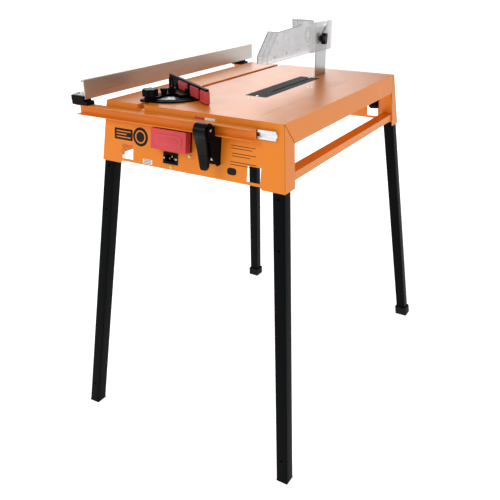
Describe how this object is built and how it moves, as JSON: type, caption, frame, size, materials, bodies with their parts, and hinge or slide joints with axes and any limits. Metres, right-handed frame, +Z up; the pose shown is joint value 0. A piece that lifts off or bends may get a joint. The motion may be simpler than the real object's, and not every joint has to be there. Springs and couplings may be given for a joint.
{
  "type": "circular saw table",
  "caption": "Splayed steel stand with a flat pressed top, a sliding rip fence, a mitre gauge, a riving knife with a clear blade guard, and a switch box.",
  "frame": {"origin": "on the floor under the middle of the whole table's outline", "axes": "+X to the right along the front edge, +Y from front to back, +Z up"},
  "size_m": [0.6497, 0.9297, 1.015],
  "materials": {
    "orange_paint": "glossy baked enamel on pressed sheet steel",
    "black_paint": "semi-gloss black enamel",
    "grey_paint": "dark blue-grey painted steel plate",
    "zinc": "bright zinc-plated rolled channel",
    "aluminium": "satin anodised extrusion",
    "steel": "ground and plated steel",
    "brass": "yellow passivated",
    "black_plastic": "fine-grained moulded plastic",
    "red_plastic": "smooth moulded plastic",
    "green_plastic": "smooth moulded plastic",
    "clear_plastic": "clear moulded polycarbonate",
    "rubber": "matt moulded rubber"
  },
  "bodies": {
    "stand": {"table_top": "orange_paint", "front_panel": "orange_paint", "rear_panel": "orange_paint", "lower_rail_left": "orange_paint", "lower_rail_right": "orange_paint", "corner_brackets": "orange_paint", "guide_channels": "zinc", "panel_screws": "brass", "lever_bracket": "black_paint", "lever_pin": "steel", "switch_housing": "black_plastic", "power_inlet": "black_plastic", "inlet_pins": "brass", "insert_plate": "grey_paint", "insert_screws": "steel", "riving_knife": "steel", "knife_bracket": "steel", "knife_bolts": "steel", "clamp_studs": "steel"},
    "leg_front_left": {"leg_front_left": "black_paint", "foot_plug_left": "black_plastic"},
    "leg_knob_front_left": {"leg_knob_front_left": "black_plastic"},
    "leg_rear_left": {"leg_rear_left": "black_paint", "foot_cap_left": "rubber"},
    "leg_knob_rear_left": {"leg_knob_rear_left": "black_plastic"},
    "leg_front_right": {"leg_front_right": "black_paint", "foot_plug_right": "black_plastic"},
    "leg_knob_front_right": {"leg_knob_front_right": "black_plastic"},
    "leg_rear_right": {"leg_rear_right": "black_paint", "foot_cap_right": "rubber"},
    "leg_knob_rear_right": {"leg_knob_rear_right": "black_plastic"},
    "fence_carriage": {"front_rail": "orange_paint", "rear_rail": "orange_paint", "fence": "aluminium", "fence_block_front": "black_plastic", "fence_block_rear": "black_plastic", "fence_screws": "steel"},
    "lock_lever": {"lock_lever": "black_plastic"},
    "start_button": {"start_button": "green_plastic"},
    "stop_button": {"stop_button": "red_plastic"},
    "stop_flap": {"stop_flap": "red_plastic"},
    "guard_clamp": {"guard_bolt": "steel"},
    "guard": {"guard_left": "clear_plastic", "guard_right": "clear_plastic"},
    "guard_knob": {"guard_knob": "black_plastic"},
    "mitre_slider": {"mitre_bar": "steel", "mitre_quadrant": "black_paint", "mitre_scale": "aluminium"},
    "mitre_head": {"mitre_arm": "black_paint", "mitre_face": "black_paint", "mitre_pads": "red_plastic"},
    "mitre_lock_knob": {"mitre_lock_knob": "black_plastic"},
    "pivot_knob": {"pivot_knob": "black_plastic"},
    "index_plunger": {"index_plunger": "black_plastic"},
    "saw_clamp_front": {"saw_clamp_front": "steel"},
    "clamp_knob_front": {"clamp_knob_front": "black_plastic"},
    "saw_clamp_side": {"saw_clamp_side": "steel"},
    "clamp_knob_side": {"clamp_knob_side": "black_plastic"}
  },
  "joints": [
    {"name": "leg_front_left_pull_out", "type": "slide", "parent": "stand", "child": "leg_front_left", "axis": [-0.0933, -0.1282, -0.9873], "range_m": [0, 0.14]},
    {"name": "leg_knob_front_left_turn", "type": "hinge", "parent": "stand", "child": "leg_knob_front_left", "pos_m": [-0.20736, -0.34996, 0.76276], "axis": [0.9956, 0, -0.0941], "range_deg": [0, 270]},
    {"name": "leg_rear_left_pull_out", "type": "slide", "parent": "stand", "child": "leg_rear_left", "axis": [-0.0929, 0.1626, -0.9823], "range_m": [0, 0.14]},
    {"name": "leg_knob_rear_left_turn", "type": "hinge", "parent": "stand", "child": "leg_knob_rear_left", "pos_m": [-0.20738, 0.31887, 0.76257], "axis": [0.9956, 0, -0.0941], "range_deg": [0, 270]},
    {"name": "leg_front_right_pull_out", "type": "slide", "parent": "stand", "child": "leg_front_right", "axis": [0.0933, -0.1282, -0.9873], "range_m": [0, 0.14]},
    {"name": "leg_knob_front_right_turn", "type": "hinge", "parent": "stand", "child": "leg_knob_front_right", "pos_m": [0.20736, -0.34996, 0.76276], "axis": [-0.9956, 0, -0.0941], "range_deg": [0, 270]},
    {"name": "leg_rear_right_pull_out", "type": "slide", "parent": "stand", "child": "leg_rear_right", "axis": [0.0929, 0.1626, -0.9823], "range_m": [0, 0.14]},
    {"name": "leg_knob_rear_right_turn", "type": "hinge", "parent": "stand", "child": "leg_knob_rear_right", "pos_m": [0.20738, 0.31887, 0.76257], "axis": [-0.9956, 0, -0.0941], "range_deg": [0, 270]},
    {"name": "fence_travel", "type": "slide", "parent": "stand", "child": "fence_carriage", "axis": [1, 0, 0], "range_m": [-0.08, 0.02]},
    {"name": "lock_lever_swing", "type": "hinge", "parent": "stand", "child": "lock_lever", "pos_m": [0.072, -0.4054, 0.828], "axis": [-1, 0, 0], "range_deg": [0, 95]},
    {"name": "start_button_press", "type": "slide", "parent": "stand", "child": "start_button", "axis": [0, 0.9917, -0.1288], "range_m": [0, 0.003], "stiffness_N_per_m": 400, "springref_m": -0.002},
    {"name": "stop_button_press", "type": "slide", "parent": "stand", "child": "stop_button", "axis": [0, 0.9917, -0.1288], "range_m": [0, 0.003], "stiffness_N_per_m": 400, "springref_m": -0.002},
    {"name": "stop_flap_lift", "type": "hinge", "parent": "stand", "child": "stop_flap", "pos_m": [-0.0375, -0.38043, 0.80161], "axis": [-1, 0, 0], "range_deg": [0, 75]},
    {"name": "guard_tilt", "type": "hinge", "parent": "stand", "child": "guard_clamp", "pos_m": [0.0545, 0.195, 0.954], "axis": [-1, 0, 0], "range_deg": [-5, 45]},
    {"name": "guard_drop", "type": "slide", "parent": "guard_clamp", "child": "guard", "axis": [0, -0.792, -0.6105], "range_m": [0, 0.055]},
    {"name": "guard_knob_turn", "type": "hinge", "parent": "guard_clamp", "child": "guard_knob", "pos_m": [0.07, 0.195, 0.954], "axis": [1, 0, 0], "range_deg": [0, 270]},
    {"name": "mitre_travel", "type": "slide", "parent": "stand", "child": "mitre_slider", "axis": [0, 1, 0], "range_m": [-0.12, 0.3]},
    {"name": "mitre_swing", "type": "hinge", "parent": "mitre_slider", "child": "mitre_head", "pos_m": [-0.137, -0.238, 0.858], "axis": [0, 0, 1], "range_deg": [-3, 78]},
    {"name": "mitre_lock_knob_turn", "type": "hinge", "parent": "mitre_head", "child": "mitre_lock_knob", "pos_m": [-0.137, -0.32, 0.87], "axis": [0, 0, 1], "range_deg": [0, 270]},
    {"name": "pivot_knob_turn", "type": "hinge", "parent": "mitre_slider", "child": "pivot_knob", "pos_m": [-0.137, -0.238, 0.87], "axis": [0, 0, 1], "range_deg": [0, 180]},
    {"name": "index_plunger_lift", "type": "slide", "parent": "mitre_head", "child": "index_plunger", "axis": [0, 0, 1], "range_m": [0, 0.005], "stiffness_N_per_m": 250, "springref_m": -0.003},
    {"name": "saw_clamp_front_turn", "type": "hinge", "parent": "stand", "child": "saw_clamp_front", "pos_m": [0.047, -0.167, 0.817], "axis": [0, 0, 1], "range_deg": [-90, 90]},
    {"name": "clamp_knob_front_turn", "type": "hinge", "parent": "stand", "child": "clamp_knob_front", "pos_m": [0.047, -0.167, 0.807], "axis": [0, 0, 1], "range_deg": [0, 270]},
    {"name": "saw_clamp_side_turn", "type": "hinge", "parent": "stand", "child": "saw_clamp_side", "pos_m": [0.11, 0.032, 0.817], "axis": [0, 0, 1], "range_deg": [-90, 90]},
    {"name": "clamp_knob_side_turn", "type": "hinge", "parent": "stand", "child": "clamp_knob_side", "pos_m": [0.11, 0.032, 0.807], "axis": [0, 0, 1], "range_deg": [0, 270]}
  ]
}
